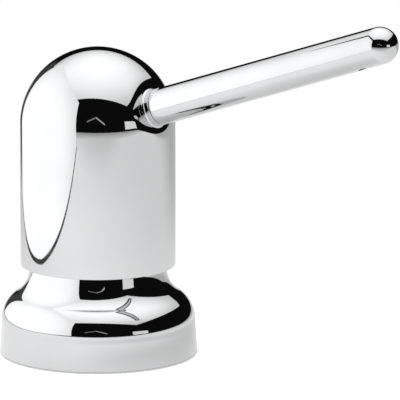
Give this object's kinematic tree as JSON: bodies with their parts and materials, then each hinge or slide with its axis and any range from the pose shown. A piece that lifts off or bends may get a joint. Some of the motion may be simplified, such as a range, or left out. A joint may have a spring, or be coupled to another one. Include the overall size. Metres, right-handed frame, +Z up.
{
  "type": "soap pump dispenser",
  "caption": "Deck-mounted soap pump: chrome domed head with a raised straight spout, flared base, piston pump, threaded shank and refillable bottle.",
  "frame": {"origin": "centre of the worktop hole, on the worktop's upper face, which is the underside of the base gasket", "axes": "+Z up, along the shank and the pump; the spout points along +X and rises towards its tip"},
  "size_m": [0.1227, 0.064, 0.2539],
  "materials": {
    "chrome": "polished chrome plate",
    "steel": "plain stainless",
    "brass": "turned brass, as machined",
    "black_rubber": "matt black rubber",
    "white_plastic": "moulded, off-white",
    "grey_plastic": "moulded, grey",
    "clear_tube": "extruded, translucent",
    "milky_plastic": "blow-moulded, translucent"
  },
  "bodies": {
    "base": {"base_escutcheon": "chrome", "base_gasket": "black_rubber", "threaded_shank": "brass", "deck_rubber_washer": "black_rubber", "deck_steel_washer": "steel", "mounting_nut": "brass", "reservoir_bottle": "milky_plastic"},
    "cartridge": {"pump_housing": "white_plastic", "flange_seal": "black_rubber", "barrel_o_ring": "black_rubber", "pump_collar": "grey_plastic", "stem_wiper": "black_rubber", "ball_cage": "white_plastic", "dip_tube": "clear_tube", "return_spring": "steel"},
    "suction_valve": {"suction_ball": "steel"},
    "plunger": {"pump_stem": "white_plastic", "piston": "grey_plastic", "piston_seal": "black_rubber", "discharge_seat": "grey_plastic", "discharge_cage": "white_plastic", "swivel_washer": "grey_plastic"},
    "discharge_valve": {"discharge_ball": "steel"},
    "head": {"head_shell": "chrome", "head_hub": "white_plastic", "hub_o_ring": "black_rubber", "gland_washer": "steel", "spout_tube": "chrome", "soap_feed_tube": "clear_tube", "outlet_nozzle": "black_rubber"}
  },
  "joints": [
    {"name": "refill_lift", "type": "slide", "parent": "base", "child": "cartridge", "axis": [0, 0, 1], "range_m": [0, 0.19]},
    {"name": "suction_ball_lift", "type": "slide", "parent": "cartridge", "child": "suction_valve", "axis": [0, 0, 1], "range_m": [0, 0.0015]},
    {"name": "pump_stroke", "type": "slide", "parent": "cartridge", "child": "plunger", "axis": [0, 0, -1], "range_m": [0, 0.0045], "stiffness_N_per_m": 900, "springref_m": -0.01, "deforming": ["return_spring"]},
    {"name": "discharge_ball_lift", "type": "slide", "parent": "plunger", "child": "discharge_valve", "axis": [0, 0, 1], "range_m": [0, 0.0008]},
    {"name": "spout_swivel", "type": "hinge", "parent": "plunger", "child": "head", "pos_m": [0, 0, 0.0596], "axis": [0, 0, 1], "continuous": true}
  ]
}
